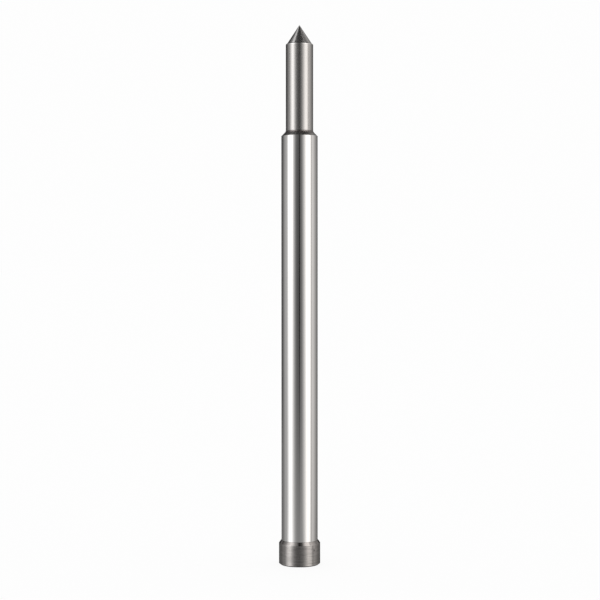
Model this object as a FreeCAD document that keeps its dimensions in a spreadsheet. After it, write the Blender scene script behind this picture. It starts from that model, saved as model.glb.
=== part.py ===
import FreeCAD, Part
import os
import Sketcher

# Stepped pilot ejector pin, standing on its head.
# Frame: origin at the middle of the flat underside of the head, +Z up the pin's axis to its point.
# Two separate pieces: the turned and ground shaft, and the stop collar pressed on the shaft's spigot.

# ---------------------------------------------------------------- driving dimensions (mm, degrees)
DIMS = [
    ("overall_len", 118.50, "underside of the head to the point"),
    ("shank_dia", 7.98, "ground shank, slides in an 8 mm pilot bore"),
    ("neck_dia", 6.00, "reduced pilot neck above the step"),
    ("neck_root_z", 95.20, "foot of the neck, top of the 45 degree step"),
    ("neck_end_z", 114.27, "upper end of the neck, where its edge turns in to the foot of the point"),
    ("point_base_dia", 5.46, "foot of the point, a little narrower than the neck"),
    ("cone_half_angle", 33.45, "half of the point's included angle"),
    ("point_dia", 0.05, "tiny flat left on the point"),
    ("neck_root_fillet", 0.85, "grinding fillet at the foot of the neck"),
    ("step_edge_round", 0.12, "stoned edge between the step and the shank"),
    ("neck_edge_round", 0.25, "rounded edge at the end of the neck"),
    ("spigot_dia", 6.00, "reduced spigot in the collar's bore"),
    ("spigot_fillet", 0.20, "fillet under the shoulder"),
    ("peen_dia", 7.20, "spigot's end, peened out into the countersink"),
    ("peen_rise", 0.60, "depth of the countersink"),
    ("centre_mark_dia", 1.90, "centre mark in the spigot's end"),
    ("centre_mark_depth", 1.645, "depth of its 60 degree cone"),
    ("collar_dia", 9.10, "stop collar outside diameter"),
    ("collar_top_z", 5.37, "collar's upper end, where the shank's shoulder sits"),
    ("collar_bevel_rise", 0.69, "upper bevel, along the axis"),
    ("collar_bevel_run", 0.47, "upper bevel, across the axis"),
    ("collar_bevel_round", 0.15, "round between the bevel and the outside"),
    ("collar_foot_rise", 0.25, "lower chamfer, along the axis"),
    ("collar_foot_run", 0.30, "lower chamfer, across the axis"),
    ("bore_lead_in", 0.30, "bore's lead-in, clears the fillet on the spigot"),
]

os.makedirs("parts", exist_ok=True)
doc = FreeCAD.newDocument("pilot_pin")

sheet = doc.addObject("Spreadsheet::Sheet", "dims")
value = {}
for row, (alias, number, note) in enumerate(DIMS, start=1):
    sheet.set("A%d" % row, alias)
    sheet.set("B%d" % row, str(number))
    sheet.set("C%d" % row, note)
    sheet.setAlias("B%d" % row, alias)
    value[alias] = number
doc.recompute()


def own_part(body, role):
    """The body's own origin plane or axis with this role."""
    for feature in body.Origin.OriginFeatures:
        if feature.Role == role:
            return feature
    raise RuntimeError("no " + role)


def bind(expression):
    """Put the sheet's name before each of its aliases."""
    for alias in sorted(value, key=len, reverse=True):
        expression = expression.replace("{%s}" % alias, "dims." + alias)
    return expression


def evaluate(expression):
    """The expression as a number, for a sketch's first shape."""
    if expression == "0":
        return 0.0
    probe = doc.addObject("App::FeaturePython", "probe")
    probe.addProperty("App::PropertyFloat", "Number")
    probe.setExpression("Number", bind(expression))
    doc.recompute()
    number = float(probe.Number)
    doc.removeObject(probe.Name)
    return number


def half_section(body, name, points, rounds):
    """A closed half-section in the XZ plane. Each point is (radius, height) as expressions on the sheet, and every
    corner is held by both, bound to the sheet. rounds says which corners are rounded, by which of its cells."""
    sketch = body.newObject("Sketcher::SketchObject", name)
    sketch.AttachmentSupport = [(own_part(body, "XZ_Plane"), "")]
    sketch.MapMode = "FlatFace"
    plain = [(evaluate(r), evaluate(z)) for r, z in points]
    count = len(points)
    for i in range(count):
        (x0, y0), (x1, y1) = plain[i], plain[(i + 1) % count]
        sketch.addGeometry(Part.LineSegment(FreeCAD.Vector(x0, y0, 0), FreeCAD.Vector(x1, y1, 0)), False)
    for i in range(count):
        sketch.addConstraint(Sketcher.Constraint("Coincident", i, 2, (i + 1) % count, 1))
    for i, (r, z) in enumerate(points):
        x0, y0 = plain[i]
        for kind, number, expression in (("DistanceX", x0, r), ("DistanceY", y0, z)):
            if abs(number) < 1e-9:
                # on the pin's axis, or on the plane that the pin stands on
                sketch.addConstraint(Sketcher.Constraint("PointOnObject", i, 1, -2 if kind == "DistanceX" else -1))
                continue
            index = sketch.addConstraint(Sketcher.Constraint(kind, -1, 1, i, 1, number))
            sketch.renameConstraint(index, "%s_%d" % ("radius" if kind == "DistanceX" else "height", i))
    doc.recompute()
    for corner, cell in rounds.items():
        arc = sketch.GeometryCount
        sketch.fillet(corner, 1, value[cell], True, True)
        if not isinstance(sketch.Geometry[arc], Part.ArcOfCircle):
            raise RuntimeError("corner %d of %s has no round" % (corner, name))
        index = sketch.addConstraint(Sketcher.Constraint("Radius", arc, value[cell]))
        sketch.renameConstraint(index, "round_%d" % corner)
        sketch.setExpression("Constraints.round_%d" % corner, "dims." + cell)
    named = {c.Name for c in sketch.Constraints if c.Name}
    for i, (r, z) in enumerate(points):
        for label, expression in (("radius_%d" % i, r), ("height_%d" % i, z)):
            if label in named:
                sketch.setExpression("Constraints." + label, bind(expression))
    doc.recompute()
    if sketch.solve() != 0:
        raise RuntimeError(name + " doesn't solve")
    return sketch


def revolve(body, kind, name, sketch):
    feature = body.newObject(kind, name)
    feature.Profile = sketch
    feature.ReferenceAxis = (own_part(body, "Z_Axis"), [""])
    feature.Angle = 360.0
    doc.recompute()
    return feature


def round_edges(shape, radius, height):
    """Names of the round edges of this radius at this height."""
    names = ["Edge%d" % i for i, edge in enumerate(shape.Edges, start=1)
             if isinstance(edge.Curve, Part.Circle) and abs(edge.Curve.Radius - radius) < 1e-3
             and abs(edge.Curve.Center.z - height) < 1e-3]
    if not names:
        raise RuntimeError("no round edge of radius %.3f at height %.3f" % (radius, height))
    return names


# ---------------------------------------------------------------- shaft: one bar, turned and ground
shaft = doc.addObject("PartDesign::Body", "pin_shaft")
shaft.Label = "pin_shaft"
shaft.Placement = FreeCAD.Placement()

CONE_FOOT = "{overall_len} - ({point_base_dia} - {point_dia}) / 2 / tan({cone_half_angle} * 1deg)"
SHANK_TOP = "{neck_root_z} - ({shank_dia} - {neck_dia}) / 2"

shaft_section = half_section(shaft, "shaft_section", [
    ("0", "0"),
    ("{peen_dia} / 2", "0"),                                        # 1  peened end, flush with the collar's foot
    ("{spigot_dia} / 2", "{peen_rise}"),                            # 2
    ("{spigot_dia} / 2", "{collar_top_z}"),                         # 3  under the shoulder
    ("{shank_dia} / 2", "{collar_top_z}"),                          # 4  shoulder on the collar
    ("{shank_dia} / 2", SHANK_TOP),                                 # 5  ground shank ends
    ("{neck_dia} / 2", "{neck_root_z}"),                            # 6  45 degree step ends
    ("{neck_dia} / 2", "{neck_end_z}"),                             # 7  neck ends
    ("{point_base_dia} / 2", CONE_FOOT),                            # 8  foot of the point
    ("{point_dia} / 2", "{overall_len}"),                           # 9  point
    ("0", "{overall_len}"),
], {5: "step_edge_round", 6: "neck_root_fillet", 7: "neck_edge_round"})
turned = revolve(shaft, "PartDesign::Revolution", "shaft_turned", shaft_section)

under = shaft.newObject("PartDesign::Fillet", "shoulder_root")
under.Base = (turned, round_edges(turned.Shape, value["spigot_dia"] / 2, value["collar_top_z"]))
under.Radius = value["spigot_fillet"]
under.setExpression("Radius", "dims.spigot_fillet")
doc.recompute()

# centre mark in the spigot's end, left from grinding between centres
mark_section = half_section(shaft, "centre_mark_section", [
    ("0", "0"),
    ("{centre_mark_dia} / 2", "0"),
    ("0", "{centre_mark_depth}"),
], {})
mark = revolve(shaft, "PartDesign::Groove", "centre_mark", mark_section)
shaft.Tip = mark
doc.recompute()
cut = under.Shape.Volume - mark.Shape.Volume
expected = 3.141592653589793 * (value["centre_mark_dia"] / 2) ** 2 * value["centre_mark_depth"] / 3
if abs(cut - expected) > 0.02 * expected:
    raise RuntimeError("the centre mark cut %.4f mm3, not %.4f" % (cut, expected))

# ---------------------------------------------------------------- collar: a turned ring pressed on the spigot
collar = doc.addObject("PartDesign::Body", "head_collar")
collar.Label = "head_collar"
collar.Placement = FreeCAD.Placement()

collar_section = half_section(collar, "collar_section", [
    ("{peen_dia} / 2", "0"),                                        # 0  mouth of the countersink
    ("{collar_dia} / 2 - {collar_foot_run}", "0"),                  # 1  flat foot
    ("{collar_dia} / 2", "{collar_foot_rise}"),                     # 2  lower chamfer
    ("{collar_dia} / 2", "{collar_top_z} - {collar_bevel_rise}"),   # 3  outside
    ("{collar_dia} / 2 - {collar_bevel_run}", "{collar_top_z}"),    # 4  upper bevel
    ("{spigot_dia} / 2 + {bore_lead_in}", "{collar_top_z}"),        # 5  seat of the shank's shoulder
    ("{spigot_dia} / 2", "{collar_top_z} - {bore_lead_in}"),        # 6  lead-in of the bore
    ("{spigot_dia} / 2", "{peen_rise}"),                            # 7  bore
], {3: "collar_bevel_round"})
ring = revolve(collar, "PartDesign::Revolution", "collar_turned", collar_section)
collar.Tip = ring
doc.recompute()

# ---------------------------------------------------------------- tests before anything is written
bad = [o.Name for o in doc.Objects if "Invalid" in o.State or "Error" in o.State]
if bad:
    raise RuntimeError("failed objects: " + ", ".join(bad))

pieces = [shaft, collar]
for piece in pieces:
    shape = piece.Shape
    if shape.isNull() or not shape.isValid() or len(shape.Solids) != 1 or shape.Volume <= 0:
        raise RuntimeError(piece.Label + " is not one valid solid")
    box = shape.optimalBoundingBox(False, False)
    print("%-12s volume %9.3f mm3   x %.3f..%.3f  y %.3f..%.3f  z %.3f..%.3f" % (
        piece.Label, shape.Volume, box.XMin, box.XMax, box.YMin, box.YMax, box.ZMin, box.ZMax))

for piece, radius in ((shaft, value["shank_dia"] / 2), (collar, value["collar_dia"] / 2)):
    box = piece.Shape.optimalBoundingBox(False, False)
    if max(abs(abs(edge) - radius) for edge in (box.XMin, box.XMax, box.YMin, box.YMax)) > 0.01:
        raise RuntimeError(piece.Label + " isn't as wide as the sheet says")
if abs(shaft.Shape.optimalBoundingBox(False, False).ZMax - value["overall_len"]) > 0.01:
    raise RuntimeError("the shaft isn't its stated length")

shared = shaft.Shape.common(collar.Shape).Volume
gap = shaft.Shape.distToShape(collar.Shape)[0]
print("overlap %.6f mm3, gap %.6f mm" % (shared, gap))
if shared > 0.005 or gap > 1e-6:
    raise RuntimeError("the collar doesn't sit on the spigot face to face")

for piece in pieces:
    piece.Shape.exportStep("parts/%s.step" % piece.Label)
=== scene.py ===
import math
import random

import bpy
import numpy as np
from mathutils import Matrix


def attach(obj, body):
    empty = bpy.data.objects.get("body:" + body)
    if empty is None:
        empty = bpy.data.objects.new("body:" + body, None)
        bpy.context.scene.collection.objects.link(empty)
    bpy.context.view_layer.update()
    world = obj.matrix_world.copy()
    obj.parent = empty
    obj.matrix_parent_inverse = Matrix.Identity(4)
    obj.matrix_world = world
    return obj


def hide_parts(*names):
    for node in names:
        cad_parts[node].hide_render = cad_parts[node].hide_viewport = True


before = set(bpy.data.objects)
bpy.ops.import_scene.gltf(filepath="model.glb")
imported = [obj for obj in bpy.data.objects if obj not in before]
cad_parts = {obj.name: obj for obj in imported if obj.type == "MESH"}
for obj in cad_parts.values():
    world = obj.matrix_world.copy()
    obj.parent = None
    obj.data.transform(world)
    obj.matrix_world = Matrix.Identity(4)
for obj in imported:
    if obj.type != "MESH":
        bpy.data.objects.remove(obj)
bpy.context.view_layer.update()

MM = 0.001
random.seed(11)
rng = np.random.default_rng(11)

# ------------------------------------------------------------------ node helpers


class Tree:
    """Short words for building a node tree."""

    def __init__(self, tree):
        self.tree = tree

    def node(self, kind, **props):
        n = self.tree.nodes.new(kind)
        for key, val in props.items():
            setattr(n, key, val)
        return n

    def link(self, a, b):
        self.tree.links.new(a, b)

    def put(self, socket, value):
        if isinstance(value, bpy.types.NodeSocket):
            self.link(value, socket)
        elif value is not None:
            socket.default_value = value

    def math(self, op, a, b=None, c=None, clamp=False):
        n = self.node("ShaderNodeMath", operation=op, use_clamp=clamp)
        self.put(n.inputs[0], a)
        self.put(n.inputs[1], b)
        if c is not None:
            self.put(n.inputs[2], c)
        return n.outputs[0]

    def curve(self, x, *points):
        """Straight runs from point to point (x, y), held outside the ends."""
        total = None
        for (x0, y0), (x1, y1) in zip(points[:-1], points[1:]):
            piece = self.ramp(x, x0, x1, 0.0, y1 - y0, smooth=False)
            total = piece if total is None else self.math("ADD", total, piece)
        return self.math("ADD", total, points[0][1])

    def ramp(self, x, x0, x1, y0=0.0, y1=1.0, smooth=True):
        """y0 at x0 to y1 at x1, held outside. x0 may be above x1."""
        n = self.node("ShaderNodeMapRange", interpolation_type="SMOOTHSTEP" if smooth else "LINEAR", clamp=True)
        self.put(n.inputs["Value"], x)
        if x0 <= x1:
            vals = (x0, x1, y0, y1)
        else:
            vals = (x1, x0, y1, y0)
        for name, val in zip(("From Min", "From Max", "To Min", "To Max"), vals):
            n.inputs[name].default_value = val
        return n.outputs["Result"]

    def noise(self, vector, scale, detail=2.0, rough=0.5, dims="3D"):
        n = self.node("ShaderNodeTexNoise", noise_dimensions=dims)
        if vector is not None:
            self.put(n.inputs["Vector"], vector)
        n.inputs["Scale"].default_value = scale
        n.inputs["Detail"].default_value = detail
        n.inputs["Roughness"].default_value = rough
        return n.outputs["Fac"]

    def scaled(self, vector, sx, sy, sz):
        n = self.node("ShaderNodeVectorMath", operation="MULTIPLY")
        self.put(n.inputs[0], vector)
        n.inputs[1].default_value = (sx, sy, sz)
        return n.outputs[0]

    def split(self, vector):
        n = self.node("ShaderNodeSeparateXYZ")
        self.put(n.inputs[0], vector)
        return n.outputs

    def mix(self, factor, a, b):
        n = self.node("ShaderNodeMix", data_type="RGBA")
        self.put(n.inputs["Factor"], factor)
        self.put(n.inputs["A"], a)
        self.put(n.inputs["B"], b)
        return n.outputs["Result"]


# ------------------------------------------------------------------ camera

CAM_D = 0.330
CAM_Z = 0.0660
cam_data = bpy.data.cameras.new("camera")
cam_data.sensor_width = 36.0
cam_data.lens = 89.995
cam_data.clip_start = 0.01
cam_data.clip_end = 50.0
camera = bpy.data.objects.new("camera", cam_data)
bpy.context.scene.collection.objects.link(camera)
camera.location = (0.000105, -CAM_D, CAM_Z)
camera.rotation_euler = (math.radians(90.0 - 1.3447), math.radians(0.015), 0.0)
bpy.context.scene.camera = camera

# ------------------------------------------------------------------ lathe meshes


def arc(cx, cz, radius, a0, a1, steps):
    """Points of a circular arc in the half-section, angles in degrees from +r towards +z."""
    out = []
    for i in range(steps + 1):
        a = math.radians(a0 + (a1 - a0) * i / steps)
        out.append((cx + radius * math.cos(a), cz + radius * math.sin(a)))
    return out


def run(p, q, step, keep_ends=0.02):
    """Points between p and q, without the ends, with a close ring beside each end so that the flat stays flat."""
    length = math.hypot(q[0] - p[0], q[1] - p[1])
    if length < 4 * keep_ends:
        return []
    count = max(1, int(round(length / step)))
    ts = [keep_ends / length] + [i / count for i in range(1, count)] + [1 - keep_ends / length]
    return [(p[0] + (q[0] - p[0]) * t, p[1] + (q[1] - p[1]) * t) for t in ts]


def chain(pieces, steps):
    """Joins arcs and corner points into one profile, with rings between them. pieces are lists of points."""
    out = list(pieces[0])
    for piece, step in zip(pieces[1:], steps):
        if step:
            out += run(out[-1], piece[0], step)
        out += piece
    return out


def corner_round(a, b, c, radius, steps):
    """Replaces corner b between a and c by an arc of this radius, tangent to both sides."""
    ux, uz = a[0] - b[0], a[1] - b[1]
    vx, vz = c[0] - b[0], c[1] - b[1]
    lu, lv = math.hypot(ux, uz), math.hypot(vx, vz)
    ux, uz, vx, vz = ux / lu, uz / lu, vx / lv, vz / lv
    half = math.acos(max(-1.0, min(1.0, ux * vx + uz * vz))) / 2
    back = radius / math.tan(half)
    px, pz = b[0] + ux * back, b[1] + uz * back
    qx, qz = b[0] + vx * back, b[1] + vz * back
    bx, bz = ux + vx, uz + vz
    lb = math.hypot(bx, bz)
    cx, cz = b[0] + bx / lb * radius / math.sin(half), b[1] + bz / lb * radius / math.sin(half)
    a0 = math.atan2(pz - cz, px - cx)
    a1 = math.atan2(qz - cz, qx - cx)
    while a1 - a0 > math.pi:
        a1 -= 2 * math.pi
    while a0 - a1 > math.pi:
        a1 += 2 * math.pi
    return [(cx + radius * math.cos(a0 + (a1 - a0) * i / steps), cz + radius * math.sin(a0 + (a1 - a0) * i / steps))
            for i in range(steps + 1)]


def lathe(name, profile, segments, shape=None, closed=False):
    """A closed surface of revolution. The profile's points are (radius, height) in mm. Where a profile starts or ends
    on the axis it has one point there. shape(angle, r, z) may return a changed radius and height, in arrays."""
    verts, rings = [], []
    angles = np.arange(segments) * 2 * math.pi / segments
    for r, z in profile:
        if r < 1e-9:
            rings.append([len(verts)])
            verts.append((0.0, 0.0, z * MM))
            continue
        rr = np.full(segments, r)
        zz = np.full(segments, z)
        if shape is not None:
            rr, zz = shape(angles, rr, zz)
        start = len(verts)
        verts += [(rr[k] * math.cos(angles[k]) * MM, rr[k] * math.sin(angles[k]) * MM, zz[k] * MM) for k in range(segments)]
        rings.append(list(range(start, start + segments)))
    faces = []
    pairs = list(zip(rings[:-1], rings[1:]))
    if closed:
        pairs.append((rings[-1], rings[0]))
    for low, high in pairs:
        if len(low) == 1 and len(high) == 1:
            continue
        for k in range(segments):
            m = (k + 1) % segments
            if len(low) == 1:
                faces.append((low[0], high[m], high[k]))
            elif len(high) == 1:
                faces.append((low[k], low[m], high[0]))
            else:
                faces.append((low[k], low[m], high[m], high[k]))
    mesh = bpy.data.meshes.new(name)
    mesh.from_pydata(verts, [], faces)
    mesh.validate()
    mesh.polygons.foreach_set("use_smooth", [True] * len(mesh.polygons))
    mesh.update()
    obj = bpy.data.objects.new(name, mesh)
    bpy.context.scene.collection.objects.link(obj)
    return obj


def paint(obj, materials, choose):
    """Gives each face the material that choose(r, z of its centre, in mm, and its normal's z) names."""
    for material in materials:
        obj.data.materials.append(material)
    index = []
    for poly in obj.data.polygons:
        c = poly.center
        index.append(choose(math.hypot(c.x, c.y) / MM, c.z / MM, poly.normal.z))
    obj.data.polygons.foreach_set("material_index", index)
    obj.data.update()


# ------------------------------------------------------------------ steel finishes, with painted shade and painted highlights


GLINT_AND_SPOT_AT = 44.5      # degrees round from the front, to the right, of the painted highlight and darker spot


def steel(name, colour, roughness, groove_pitch, groove_depth, rough_swing=0.03, stain=0.03, blotch=0.0, tint=None, streak=0.0,
          glint_and_spot=False):
    """Bare steel with fine lines round the pin. groove_pitch is in mm; groove_depth is the bump's height in mm.
    streak is the swing in shade of the wider, shorter marks that a turning tool leaves. The last flag paints a bright
    line below the upper bevel, a painted highlight, with a darker spot under it."""
    material = bpy.data.materials.new(name)
    material.use_nodes = True
    nodes = material.node_tree.nodes
    nodes.clear()
    t = Tree(material.node_tree)
    out = t.node("ShaderNodeOutputMaterial")
    bsdf = t.node("ShaderNodeBsdfPrincipled")
    t.link(bsdf.outputs[0], out.inputs["Surface"])
    bsdf.inputs["Metallic"].default_value = 1.0
    place = t.node("ShaderNodeTexCoord").outputs["Object"]
    # lines round the pin: short along z, long round it, so that each one starts and ends somewhere
    lines = t.noise(t.scaled(place, 55.0, 55.0, 1000.0 / groove_pitch), 1.0, 3.0, 0.65)
    broad = t.noise(t.scaled(place, 300.0, 300.0, 420.0), 1.0, 3.0, 0.55)
    fine = t.noise(place, 9000.0, 2.0, 0.6)
    shade = t.math("MULTIPLY_ADD", lines, stain, 1.0 - stain * 0.5)
    shade = t.math("MULTIPLY", shade, t.math("MULTIPLY_ADD", broad, stain * 1.4, 1.0 - stain * 0.7))
    if streak:
        wide = t.noise(t.scaled(place, 330.0, 330.0, 2100.0), 1.0, 2.0, 0.5)
        shade = t.math("MULTIPLY", shade, t.ramp(wide, 0.34, 0.66, 1.0 - streak, 1.0 + streak))
    # painted highlight: a bright line below the upper bevel, with a darker spot under it
    if glint_and_spot:
        px, py, pz = (t.math("MULTIPLY", c, 1000.0) for c in t.split(place))
        round_it = t.math("MULTIPLY_ADD", px, math.cos(math.radians(GLINT_AND_SPOT_AT)), t.math("MULTIPLY", py, math.sin(math.radians(GLINT_AND_SPOT_AT))))
        front = t.math("GREATER_THAN", t.math("SUBTRACT", px, py), 0.0)
        painted_glint = t.math("MULTIPLY", t.ramp(t.math("ABSOLUTE", t.math("SUBTRACT", round_it, -0.06)), 0.04, 0.20, 1.0, 0.0),
                         t.ramp(t.math("ABSOLUTE", t.math("SUBTRACT", pz, 4.32)), 0.25, 0.50, 1.0, 0.0))
        wide = t.math("POWER", t.math("SUBTRACT", round_it, 0.04), 2.0)
        high = t.math("POWER", t.math("SUBTRACT", pz, 3.52), 2.0)
        dark_spot = t.ramp(t.math("ADD", wide, high), 0.015, 0.085, 1.0, 0.0)
        factor = t.math("MULTIPLY_ADD", painted_glint, 0.45, t.math("MULTIPLY_ADD", dark_spot, -0.42, 0.0))
        shade = t.math("MULTIPLY", shade, t.math("MULTIPLY_ADD", factor, front, 1.0))
    base = t.node("ShaderNodeVectorMath", operation="SCALE")
    if tint is None:
        base.inputs[0].default_value = colour
    else:
        rgb = t.mix(t.ramp(broad, 0.35, 0.65), (*colour, 1.0), (*tint, 1.0))
        t.link(rgb, base.inputs[0])
    t.link(shade, base.inputs["Scale"])
    t.link(base.outputs[0], bsdf.inputs["Base Color"])
    rough = t.math("MULTIPLY_ADD", lines, rough_swing * 2, roughness - rough_swing)
    rough = t.math("ADD", rough, t.math("MULTIPLY_ADD", broad, rough_swing, -rough_swing * 0.5))
    if blotch:
        rough = t.math("ADD", rough, t.math("MULTIPLY", t.ramp(fine, 0.62, 0.8), blotch))
    t.link(rough, bsdf.inputs["Roughness"])
    bump = t.node("ShaderNodeBump")
    bump.inputs["Strength"].default_value = 1.0
    bump.inputs["Distance"].default_value = groove_depth * MM
    height = t.math("MULTIPLY_ADD", fine, 0.15, lines)
    t.link(height, bump.inputs["Height"])
    t.link(bump.outputs[0], bsdf.inputs["Normal"])
    return material


M_SHANK = steel("steel_ground_shank", (0.620, 0.615, 0.605), 0.105, 0.060, 0.00012, 0.012, 0.02)
M_NECK = steel("steel_ground_neck", (0.420, 0.410, 0.400), 0.245, 0.080, 0.00035, 0.03, 0.04)
M_POINT = steel("steel_ground_point", (0.448, 0.443, 0.438), 0.195, 0.070, 0.00007, 0.01, 0.02)
# brighter steel on the round between the neck and the point: a painted highlight
M_RIM_HIGHLIGHT = steel("steel_rim_painted_highlight", (0.590, 0.578, 0.566), 0.200, 0.080, 0.00020, 0.02, 0.03)
# dark steel in the neck's root fillet and just below it: painted shade in the hollow
M_ROOT_SHADE = steel("steel_root_painted_shade", (0.152, 0.141, 0.136), 0.300, 0.090, 0.00060, 0.04, 0.08)
M_UNDER_ROOT_SHADE = steel("steel_under_root_painted_shade", (0.250, 0.233, 0.225), 0.300, 0.090, 0.00060, 0.04, 0.08)
M_STEP = steel("steel_turned_step", (0.400, 0.391, 0.383), 0.230, 0.090, 0.00050, 0.04, 0.05)
M_SPIGOT = steel("steel_peened_end", (0.300, 0.285, 0.270), 0.380, 0.120, 0.00120, 0.06, 0.10, 0.08, (0.34, 0.32, 0.30), 0.06)
# the collar carries the painted highlight below its bevel and the darker spot under it
M_COLLAR = steel("steel_turned_collar", (0.284, 0.271, 0.263), 0.165, 0.110, 0.00080, 0.05, 0.10, 0.06, (0.275, 0.265, 0.255), 0.10, True)
M_EDGE = steel("steel_worn_edge", (0.360, 0.345, 0.335), 0.170, 0.090, 0.00040, 0.03, 0.05)
M_BEVEL = steel("steel_turned_bevel", (0.215, 0.205, 0.198), 0.140, 0.090, 0.00060, 0.03, 0.06)

# ------------------------------------------------------------------ shaft

TOP = 5.37
NECK_R, SHANK_R = 3.0, 3.99
NECK_Z, SHANK_Z, LENGTH = 95.20, 94.21, 118.5
NECK_END, BASE_R = 114.27, 2.73
slope = math.tan(math.radians(33.45))
tip_flat = (0.025, LENGTH)
point_foot = (BASE_R, LENGTH - (BASE_R - 0.025) / slope)

step_low = corner_round((SHANK_R, 20.0), (SHANK_R, SHANK_Z), (NECK_R, NECK_Z), 0.12, 6)
neck_root = corner_round((SHANK_R, SHANK_Z), (NECK_R, NECK_Z), (NECK_R, 110.0), 0.85, 12)
neck_edge = corner_round((NECK_R, 100.0), (NECK_R, NECK_END), point_foot, 0.25, 10)
tip = corner_round(point_foot, tip_flat, (0.0, LENGTH), 0.02, 4)

shaft_profile = chain([
    [(0.0, 1.645)],
    corner_round((0.0, 1.645), (0.95, 0.0), (3.6, 0.0), 0.05, 3),
    corner_round((0.95, 0.0), (3.6, 0.0), (3.0, 0.6), 0.03, 3),
    [(3.0, 0.6)],
    corner_round((3.0, 0.6), (3.0, TOP), (SHANK_R, TOP), 0.20, 4),
    corner_round((3.0, TOP), (SHANK_R, TOP), (SHANK_R, 20.0), 0.01, 3),
    step_low,
    neck_root,
    neck_edge,
    [point_foot],
    tip,
    [(0.0, LENGTH)],
], [0.35, 0.4, 0.3, 1.2, 0.4, 1.6, 0.25, 1.2, 0.05, 0.3, 0])

shaft = lathe("pin_shaft_turned", shaft_profile, 192)
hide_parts("pin_shaft")
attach(shaft, "root")


def shaft_finish(r, z, up):
    if z < TOP + 0.001:
        return 4
    if z < SHANK_Z - 0.02:
        return 0
    if z < NECK_Z - 0.36:
        return 3
    # painted shade: darker steel where the step runs into the root fillet, darkest in the fillet
    if z < NECK_Z - 0.17:
        return 6
    if z < NECK_Z + 0.19:
        return 5
    if z < NECK_END - 0.17:
        return 1
    # the rim round below the point gets the brighter steel, a painted highlight
    if z < NECK_END - 0.07:
        return 7
    return 2


paint(shaft, [M_SHANK, M_NECK, M_POINT, M_STEP, M_SPIGOT, M_ROOT_SHADE, M_UNDER_ROOT_SHADE, M_RIM_HIGHLIGHT], shaft_finish)

# ------------------------------------------------------------------ collar

COLLAR_R = 4.548
BEVEL_RISE, BEVEL_RUN, FOOT_RISE, FOOT_RUN = 0.69, 0.47, 0.25, 0.30
bevel_low = corner_round((COLLAR_R, 1.0), (COLLAR_R, TOP - BEVEL_RISE), (COLLAR_R - BEVEL_RUN, TOP), 0.15, 6)
side_low = corner_round((COLLAR_R - FOOT_RUN, 0.0), (COLLAR_R, FOOT_RISE), (COLLAR_R, 3.0), 0.05, 4)
collar_profile = chain([
    [(3.6, 0.0)],
    corner_round((3.6, 0.0), (COLLAR_R - FOOT_RUN, 0.0), (COLLAR_R, FOOT_RISE), 0.05, 4),
    side_low,
    bevel_low,
    corner_round((COLLAR_R, TOP - BEVEL_RISE), (COLLAR_R - BEVEL_RUN, TOP), (3.3, TOP), 0.02, 3),
    [(3.3, TOP)],
    [(3.0, TOP - 0.3)],
    [(3.0, 0.6)],
], [0.2, 0.1, 0.03, 0.06, 0.3, 0.1, 1.0])

z_low, z_high = side_low[-1][1], bevel_low[0][1]
grid = np.linspace(0.0, 6.0, 601)
marks = np.zeros_like(grid)
for pitch, depth in ((0.155, 0.0012), (0.31, 0.0007), (0.47, 0.0010), (0.83, 0.0012)):
    marks += depth * np.sin(2 * math.pi * grid / pitch + rng.uniform(0, 6.28) + 0.9 * np.sin(grid * rng.uniform(1.5, 3.0)))
marks += 0.0012 * np.convolve(rng.normal(size=grid.size), np.ones(5) / 5, mode="same")
marks -= marks.max()


def collar_shape(angle, r, z):
    """Lathe marks on the outside."""
    side = np.clip((z - z_low) / 0.05, 0, 1) * np.clip((z_high - z) / 0.05, 0, 1) * (r > 4.2)
    return r + side * np.interp(z, grid, marks), z


collar = lathe("head_collar_turned", collar_profile, 256, collar_shape, closed=True)
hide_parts("head_collar")
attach(collar, "root")
paint(collar, [M_COLLAR, M_BEVEL, M_EDGE], lambda r, z, up: 0 if z < 4.4 or up < 0.06 else 2 if up < 0.50 else 1)

# ------------------------------------------------------------------ floor and light


def paper(name, shade, own):
    """White paper lit from behind: own is its own light, and the rest takes the contact shadow. It hides nothing from
    a camera below it."""
    material = bpy.data.materials.new(name)
    material.use_nodes = True
    bsdf = material.node_tree.nodes["Principled BSDF"]
    bsdf.inputs["Base Color"].default_value = (shade, shade, shade, 1.0)
    bsdf.inputs["Roughness"].default_value = 0.9
    bsdf.inputs["Specular IOR Level"].default_value = 0.0
    bsdf.inputs["Emission Color"].default_value = (1.0, 1.0, 1.0, 1.0)
    bsdf.inputs["Emission Strength"].default_value = own
    t = Tree(material.node_tree)
    through = t.node("ShaderNodeMixShader")
    t.link(t.node("ShaderNodeNewGeometry").outputs["Backfacing"], through.inputs[0])
    t.link(bsdf.outputs[0], through.inputs[1])
    t.link(t.node("ShaderNodeBsdfTransparent").outputs[0], through.inputs[2])
    t.link(through.outputs[0], material.node_tree.nodes["Material Output"].inputs["Surface"])
    return material


bpy.ops.mesh.primitive_circle_add(vertices=96, radius=12.0, fill_type="NGON", location=(0, 0, -0.00002))
floor = bpy.context.object
floor.name = "floor"
floor.data.materials.append(paper("floor_paper", 0.068, 0.897))
floor.visible_glossy = False

sun_data = bpy.data.lights.new("overhead", "SUN")
sun_data.energy = 4.2
sun_data.angle = math.radians(110.0)
sun = bpy.data.objects.new("overhead", sun_data)
sun.rotation_euler = (math.radians(-6.0), math.radians(1.5), 0.0)
sun.visible_glossy = False
bpy.context.scene.collection.objects.link(sun)

# The soft boxes that the steel mirrors: tall panels left and right, weaker ones behind, a dark room between them.
world = bpy.data.worlds.new("studio")
bpy.context.scene.world = world
world.use_nodes = True
world.node_tree.nodes.clear()
w = Tree(world.node_tree)
sky = w.node("ShaderNodeTexCoord").outputs["Generated"]
split = w.node("ShaderNodeSeparateXYZ")
w.link(sky, split.inputs[0])
X, Y, Z = split.outputs
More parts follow.
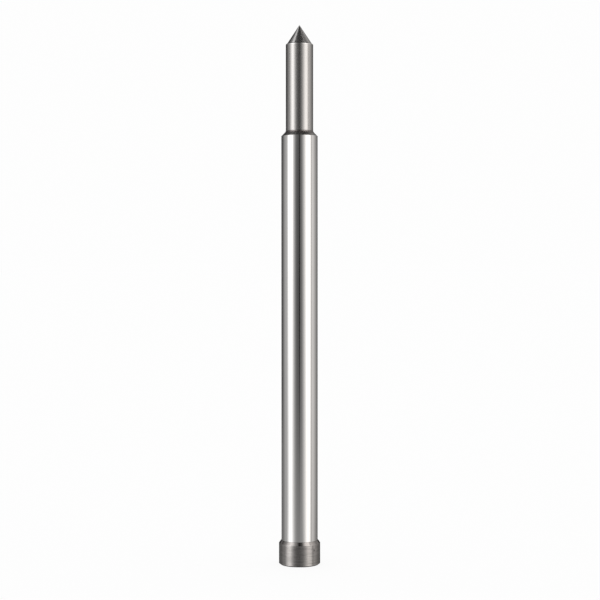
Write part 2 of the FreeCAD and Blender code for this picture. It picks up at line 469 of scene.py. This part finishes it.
# azimuth in degrees: 0 towards -Y, positive to the right; height in degrees above the horizon
azimuth = w.math("MULTIPLY", w.math("ARCTAN2", X, w.math("MULTIPLY", Y, -1.0)), 180.0 / math.pi)
height = w.math("MULTIPLY", w.math("ARCSINE", Z), 180.0 / math.pi)


def panel(strength, az_in, az_out, up, low=(-90.0, -89.0), power=1.0, tilt=None):
    """A soft box: it brightens from az_in[0] to az_in[1] by that power, holds, and ends from az_out[0] to az_out[1].
    up and low are its upper and lower ends; tilt gives its strength at some heights."""
    rise = w.ramp(azimuth, az_in[0], az_in[1], smooth=power == 1.0)
    if power != 1.0:
        rise = w.math("POWER", rise, power)
    value = w.math("MULTIPLY", rise, w.ramp(azimuth, az_out[0], az_out[1], 1.0, 0.0))
    value = w.math("MULTIPLY", value, w.ramp(height, up[0], up[1], 1.0, 0.0))
    if low[0] > -89.0:
        value = w.math("MULTIPLY", value, w.ramp(height, low[0], low[1], 0.0, 1.0))
    if tilt:
        value = w.math("MULTIPLY", value, w.curve(height, *tilt))
    return w.math("MULTIPLY", value, strength)


BOX_TILT_L = ((-25.0, 1.15), (-14.0, 0.85), (-11.0, 0.72), (-9.5, 0.65), (-1.4, 0.93), (7.4, 1.10), (14.0, 1.0), (34.0, 0.90), (44.0, 1.20))
BOX_TILT_R = ((-13.7, 0.63), (-1.4, 0.99), (7.4, 1.06), (14.0, 0.88), (34.0, 0.75), (44.0, 1.40))
WING_TILT_L = ((-12.0, 0.86), (-9.5, 0.90), (-6.0, 0.98), (-1.4, 1.02), (2.4, 1.0), (5.7, 0.85), (20.0, 0.85), (34.0, 1.8), (49.0, 1.9))
WING_TILT_R = ((-12.0, 0.80), (-5.0, 0.98), (2.4, 0.97), (5.7, 0.86), (20.0, 0.86), (34.0, 1.8), (49.0, 1.6), (69.0, 0.3))
parts = [
    panel(2.40, (-5.0, -52.7), (-60.0, -91.0), (56.0, 65.0), power=2.9, tilt=BOX_TILT_L),       # left box
    panel(2.20, (0.0, 50.0), (67.0, 82.5), (56.0, 64.0), power=2.0, tilt=BOX_TILT_R),           # right box
    panel(0.50, (-62.0, -86.0), (-92.0, -140.0), (40.0, 60.0), tilt=WING_TILT_L),               # left wing
    panel(0.83, (72.0, 88.0), (80.0, 165.0), (32.0, 55.0), tilt=WING_TILT_R),                   # right wing
    panel(0.09, (80.0, 88.0), (98.0, 106.0), (20.0, 30.0), low=(-5.0, 4.0)),
    panel(0.10, (-118.0, -134.0), (-146.0, -160.0), (-7.5, -4.5)),                              # low, left and behind
    panel(1.20, (-58.0, -68.0), (-84.0, -100.0), (53.0, 63.0), low=(29.0, 38.0)),               # boxes' upper corners
    panel(1.05, (62.0, 70.0), (86.0, 102.0), (50.0, 59.0), low=(30.0, 40.0)),
    panel(0.40, (-8.0, -17.0), (-30.0, -44.0), (62.0, 70.0), low=(46.0, 52.0)),                 # spill between the boxes
    panel(-0.20, (9.0, 17.0), (27.0, 37.0), (62.0, 70.0), low=(46.0, 52.0)),
    panel(0.05, (-2.0, -10.0), (-30.0, -40.0), (30.0, 40.0), low=(4.5, 5.5)),
    panel(0.28, (-122.0, -134.0), (-158.0, -168.0), (19.0, 25.0), low=(10.5, 14.0)),            # pale wall behind
    panel(0.26, (122.0, 134.0), (158.0, 168.0), (19.0, 25.0), low=(10.5, 14.0)),
    panel(0.20, (-56.0, -64.0), (-80.0, -92.0), (-10.7, -10.1)),                                # boxes' lower corners
    panel(-0.12, (12.0, 20.0), (34.0, 42.0), (-10.2, -9.7)),
    panel(-0.15, (56.0, 62.0), (70.0, 78.0), (-10.2, -9.7)),
    panel(-0.06, (94.0, 104.0), (128.0, 140.0), (-10.2, -9.7)),
    panel(-0.05, (104.0, 114.0), (126.0, 138.0), (30.0, 45.0)),                                 # shaded edges
    panel(-0.08, (-76.0, -82.0), (-86.0, -92.0), (0.0, 3.0), low=(-10.2, -9.5)),
    panel(-0.035, (-14.0, -20.0), (-30.0, -38.0), (4.6, 5.2), low=(2.0, 3.0)),
    panel(0.09, (-74.0, -82.0), (-92.0, -102.0), (12.0, 16.0), low=(4.6, 5.4)),                 # as the neck mirrors it
    panel(-0.06, (-108.0, -120.0), (-150.0, -160.0), (12.0, 16.0), low=(4.6, 5.4)),
    panel(0.13, (74.0, 80.0), (86.0, 98.0), (12.0, 16.0), low=(4.6, 5.4)),
    panel(-0.07, (118.0, 126.0), (150.0, 160.0), (12.0, 16.0), low=(4.6, 5.4)),
    panel(0.030, (3.2, 4.6), (7.5, 10.0), (3.0, 4.6)),                                          # beside the dark strip
    panel(-0.018, (9.0, 11.5), (16.0, 22.0), (3.0, 4.6)),
    panel(1.10, (-83.0, -93.0), (-103.0, -112.0), (60.0, 70.0), low=(38.0, 48.0)),              # high, left and behind
    panel(0.18, (-105.0, -122.0), (-135.0, -150.0), (68.0, 78.0), low=(52.0, 60.0)),
    panel(0.14, (75.0, 90.0), (112.0, 125.0), (62.0, 74.0), low=(20.0, 35.0)),                  # high, right and behind
    panel(0.15, (112.0, 125.0), (165.0, 179.0), (50.0, 66.0), low=(10.0, 25.0)),
]
room = w.curve(height, (-45.0, 0.20), (-13.7, 0.125), (-1.4, 0.118), (5.7, 0.125), (8.3, 0.105), (43.0, 0.095), (73.0, 0.060))
turn = w.math("ABSOLUTE", azimuth)
room = w.math("MULTIPLY", room, w.ramp(turn, 146.0, 159.0, 1.0, 0.50))
# the dark camera in front of the pin, and the pale floor before it
stand = w.math("MULTIPLY", w.ramp(azimuth, -3.9, -2.8), w.ramp(azimuth, 2.4, 3.5, 1.0, 0.0))
stand = w.math("MULTIPLY", stand, w.curve(height, (-10.0, 0.0), (-7.8, 0.38), (-6.3, 0.65), (-4.8, 0.90), (-3.3, 1.0), (-0.3, 0.95), (2.8, 0.76), (4.1, 0.80),
                                         (6.0, 0.70), (9.0, 0.70), (14.0, 0.86), (60.0, 0.86), (74.0, 0.0)))
room = w.math("MULTIPLY", room, w.math("SUBTRACT", 1.0, stand))
front = w.math("MULTIPLY", w.ramp(azimuth, -80.0, -30.0), w.ramp(azimuth, 30.0, 80.0, 1.0, 0.0))
ground = w.curve(height, (-20.0, 0.0), (-13.0, 0.75), (-10.6, 1.0), (-8.9, 0.70), (-5.2, 0.17), (-1.4, 0.0))
total = w.math("MULTIPLY_ADD", w.math("MULTIPLY", front, ground), 0.235, room)
# the white floor further off, which only steep views mirror, and a strip behind the pin
far = w.math("MULTIPLY", w.ramp(turn, 120.0, 148.0, 1.0, 0.0), w.curve(height, (-58.0, 0.0), (-50.0, 1.0), (-32.0, 1.0), (-20.0, 0.0)))
total = w.math("MULTIPLY_ADD", far, 0.45, total)
behind = w.math("MULTIPLY", w.ramp(turn, 169.0, 175.0), w.curve(height, (-62.0, 0.0), (-50.0, 1.0), (14.0, 1.0), (24.0, 0.0)))
total = w.math("MULTIPLY_ADD", behind, 0.70, total)
for part in parts:
    total = w.math("ADD", total, part)
warm = w.ramp(azimuth, 5.0, 50.0)
background = w.node("ShaderNodeBackground")
colour = w.node("ShaderNodeCombineColor")
w.link(total, colour.inputs[0])
w.link(w.math("MULTIPLY", total, w.math("MULTIPLY_ADD", warm, -0.02, 0.992)), colour.inputs[1])
w.link(w.math("MULTIPLY", total, w.math("MULTIPLY_ADD", warm, -0.04, 0.992)), colour.inputs[2])
w.link(colour.outputs[0], background.inputs["Color"])
# what the camera sees behind the pin is plain white
white = w.node("ShaderNodeBackground")
white.inputs["Color"].default_value = (0.987, 0.987, 0.987, 1.0)
seen = w.node("ShaderNodeMixShader")
w.link(w.node("ShaderNodeLightPath").outputs["Is Camera Ray"], seen.inputs[0])
w.link(background.outputs[0], seen.inputs[1])
w.link(white.outputs[0], seen.inputs[2])
world_out = w.node("ShaderNodeOutputWorld")
w.link(seen.outputs[0], world_out.inputs["Surface"])
world.cycles_visibility.diffuse = False

scene = bpy.context.scene
scene.view_settings.view_transform = "Standard"
scene.view_settings.look = "None"
scene.view_settings.exposure = 0.0
scene.view_settings.gamma = 1.0
